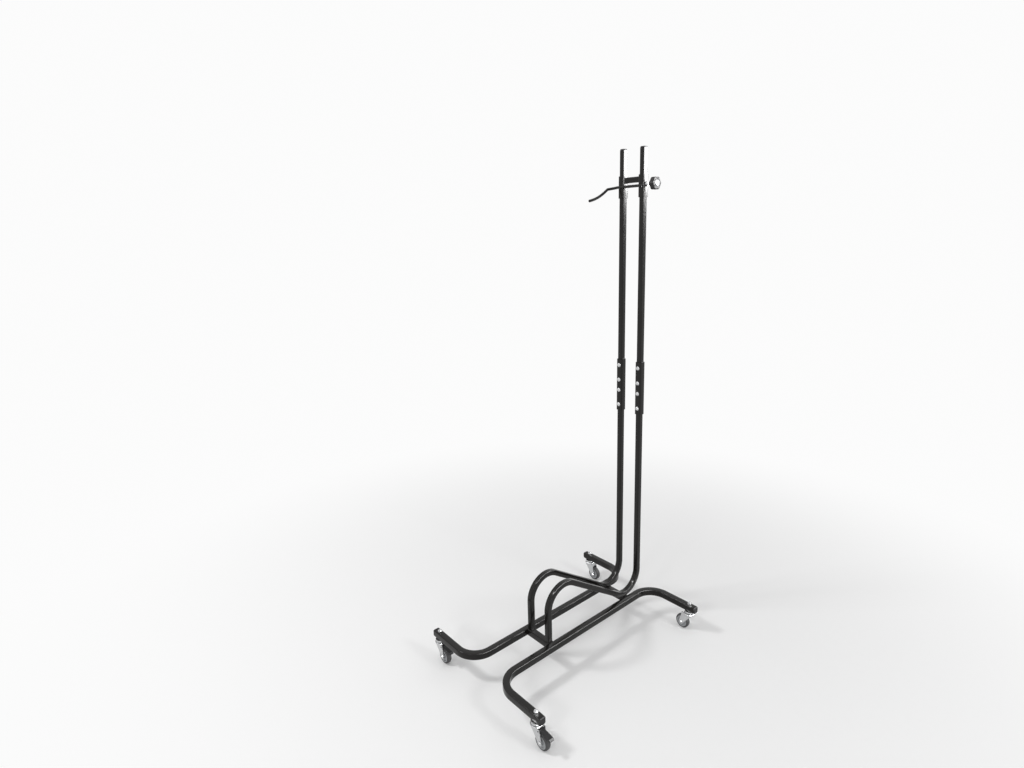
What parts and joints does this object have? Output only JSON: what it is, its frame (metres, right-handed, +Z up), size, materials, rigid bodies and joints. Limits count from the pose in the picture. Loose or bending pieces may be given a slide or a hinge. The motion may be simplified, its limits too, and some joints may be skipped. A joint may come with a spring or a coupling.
{
  "type": "bike stand",
  "caption": "Rolling upright bike stand: bent tube base on casters, wheel guides rising into two uprights, and a sliding wheel holder with a star knob.",
  "frame": {"origin": "on the floor, under the middle of the outline", "axes": "+Z up, +X the near side, -Y the front where the wheel rolls in"},
  "size_m": [0.5638, 0.767, 1.6473],
  "materials": {
    "black_paint": "gloss black powder coat",
    "black_plastic": "satin black",
    "zinc_steel": "bright zinc plate",
    "grey_cap": "grey",
    "grey_hub": "grey",
    "dark_tread": "dark grey"
  },
  "bodies": {
    "frame": {"base_rail_near": "black_paint", "wheel_guide_near": "black_paint", "upper_tube_near": "black_paint", "joint_sleeve_near": "black_paint", "top_plug_near": "black_plastic", "foot_plug_near_front": "black_plastic", "foot_plug_near_rear": "black_plastic", "sleeve_bolt_near_1": "zinc_steel", "sleeve_bolt_near_2": "zinc_steel", "sleeve_bolt_near_3": "zinc_steel", "sleeve_bolt_near_4": "zinc_steel", "base_rail_far": "black_paint", "wheel_guide_far": "black_paint", "upper_tube_far": "black_paint", "joint_sleeve_far": "black_paint", "top_plug_far": "black_plastic", "foot_plug_far_front": "black_plastic", "foot_plug_far_rear": "black_plastic", "sleeve_bolt_far_1": "zinc_steel", "sleeve_bolt_far_2": "zinc_steel", "sleeve_bolt_far_3": "zinc_steel", "sleeve_bolt_far_4": "zinc_steel", "cross_bar_front": "black_paint", "cross_bar_rear": "black_paint", "caster_stem_near_front": "zinc_steel", "stem_nut_near_front": "zinc_steel", "caster_stem_near_rear": "zinc_steel", "stem_nut_near_rear": "zinc_steel", "caster_stem_far_front": "zinc_steel", "stem_nut_far_front": "zinc_steel", "caster_stem_far_rear": "zinc_steel", "stem_nut_far_rear": "zinc_steel"},
    "holder": {"collar_near": "black_paint", "collar_far": "black_paint", "holder_bar": "black_paint", "hook_rod": "black_paint", "clamp_nut": "zinc_steel"},
    "knob": {"star_knob": "black_plastic", "knob_stud": "zinc_steel", "knob_cap": "grey_cap"},
    "swivel_near_front": {"caster_fork_near_front": "zinc_steel", "caster_axle_near_front": "zinc_steel"},
    "wheel_near_front": {"wheel_hub_near_front": "grey_hub", "wheel_tread_near_front": "dark_tread"},
    "pedal_near_front": {"brake_pedal_near_front": "black_plastic"},
    "swivel_near_rear": {"caster_fork_near_rear": "zinc_steel", "caster_axle_near_rear": "zinc_steel"},
    "wheel_near_rear": {"wheel_hub_near_rear": "grey_hub", "wheel_tread_near_rear": "dark_tread"},
    "swivel_far_front": {"caster_fork_far_front": "zinc_steel", "caster_axle_far_front": "zinc_steel"},
    "wheel_far_front": {"wheel_hub_far_front": "grey_hub", "wheel_tread_far_front": "dark_tread"},
    "pedal_far_front": {"brake_pedal_far_front": "black_plastic"},
    "swivel_far_rear": {"caster_fork_far_rear": "zinc_steel", "caster_axle_far_rear": "zinc_steel"},
    "wheel_far_rear": {"wheel_hub_far_rear": "grey_hub", "wheel_tread_far_rear": "dark_tread"}
  },
  "joints": [
    {"name": "holder_height", "type": "slide", "parent": "frame", "child": "holder", "axis": [0, 0, 1], "range_m": [-0.4, 0.07]},
    {"name": "knob_turn", "type": "hinge", "parent": "holder", "child": "knob", "pos_m": [-0.01812, 0.3146, 1.532], "axis": [1, 0, 0], "continuous": true},
    {"name": "swivel_turn_near_front", "type": "hinge", "parent": "frame", "child": "swivel_near_front", "pos_m": [0.21938, -0.365, 0.06], "axis": [0, 0, 1], "continuous": true},
    {"name": "wheel_spin_near_front", "type": "hinge", "parent": "swivel_near_front", "child": "wheel_near_front", "pos_m": [0.24438, -0.365, 0.025], "axis": [0, 1, 0], "continuous": true},
    {"name": "brake_near_front", "type": "hinge", "parent": "swivel_near_front", "child": "pedal_near_front", "pos_m": [0.23838, -0.365, 0.0585], "axis": [0, 1, 0], "range_deg": [0, 5]},
    {"name": "swivel_turn_near_rear", "type": "hinge", "parent": "frame", "child": "swivel_near_rear", "pos_m": [0.21938, 0.365, 0.06], "axis": [0, 0, 1], "continuous": true},
    {"name": "wheel_spin_near_rear", "type": "hinge", "parent": "swivel_near_rear", "child": "wheel_near_rear", "pos_m": [0.19438, 0.365, 0.025], "axis": [0, -1, 0], "continuous": true},
    {"name": "swivel_turn_far_front", "type": "hinge", "parent": "frame", "child": "swivel_far_front", "pos_m": [-0.25562, -0.365, 0.06], "axis": [0, 0, 1], "continuous": true},
    {"name": "wheel_spin_far_front", "type": "hinge", "parent": "swivel_far_front", "child": "wheel_far_front", "pos_m": [-0.23062, -0.365, 0.025], "axis": [0, 1, 0], "continuous": true},
    {"name": "brake_far_front", "type": "hinge", "parent": "swivel_far_front", "child": "pedal_far_front", "pos_m": [-0.23662, -0.365, 0.0585], "axis": [0, 1, 0], "range_deg": [0, 5]},
    {"name": "swivel_turn_far_rear", "type": "hinge", "parent": "frame", "child": "swivel_far_rear", "pos_m": [-0.25562, 0.365, 0.06], "axis": [0, 0, 1], "continuous": true},
    {"name": "wheel_spin_far_rear", "type": "hinge", "parent": "swivel_far_rear", "child": "wheel_far_rear", "pos_m": [-0.23062, 0.365, 0.025], "axis": [0, 1, 0], "continuous": true}
  ]
}
